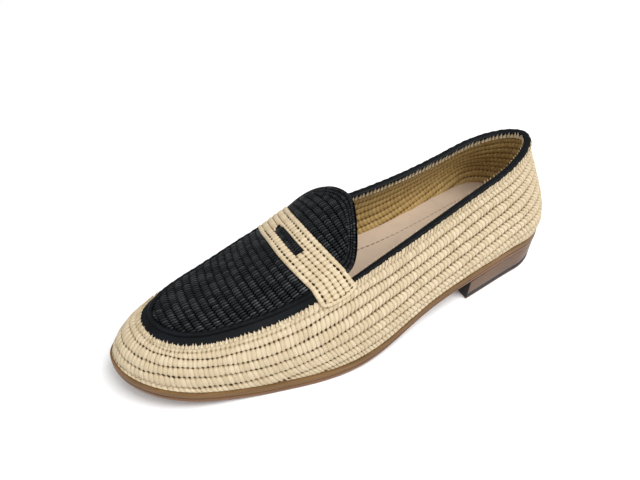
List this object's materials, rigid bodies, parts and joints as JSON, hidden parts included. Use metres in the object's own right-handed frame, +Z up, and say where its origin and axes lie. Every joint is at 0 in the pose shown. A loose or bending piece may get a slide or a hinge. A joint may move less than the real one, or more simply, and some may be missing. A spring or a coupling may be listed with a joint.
{
  "type": "raffia penny loafer",
  "caption": "Slip-on left shoe: hollow crocheted natural upper, black crocheted apron with tongue flap, slotted saddle strap, leather sole and low stacked heel.",
  "frame": {"origin": "centre of the shoe's bounding box in plan, on the floor under the sole", "axes": "+Z up, -Y towards the toe, +Y towards the heel, +X towards the outer (lateral) side of this left shoe"},
  "size_m": [0.0908, 0.2706, 0.0784],
  "materials": {
    "natural_raffia": "matt crocheted natural raffia",
    "black_raffia": "crocheted black raffia with a slight sheen",
    "black_leather": "smooth black leather, semi-matt",
    "sole_leather": "reddish-brown sole leather, burnished",
    "welt_leather": "olive-tan sole leather, burnished",
    "heel_leather": "stacked brown leather, burnished",
    "lift_rubber": "matt dark rubber",
    "lining_leather": "matt pinkish-beige lining leather"
  },
  "bodies": {
    "root": {"heel_tip": "sole_leather", "heel_lift": "lift_rubber", "heel_stack": "heel_leather", "outsole": "sole_leather", "welt": "welt_leather", "insole": "lining_leather", "upper": "natural_raffia", "apron": "black_raffia", "apron_piping": "black_leather", "collar_binding": "black_leather", "strap": "natural_raffia"}
  },
  "joints": []
}
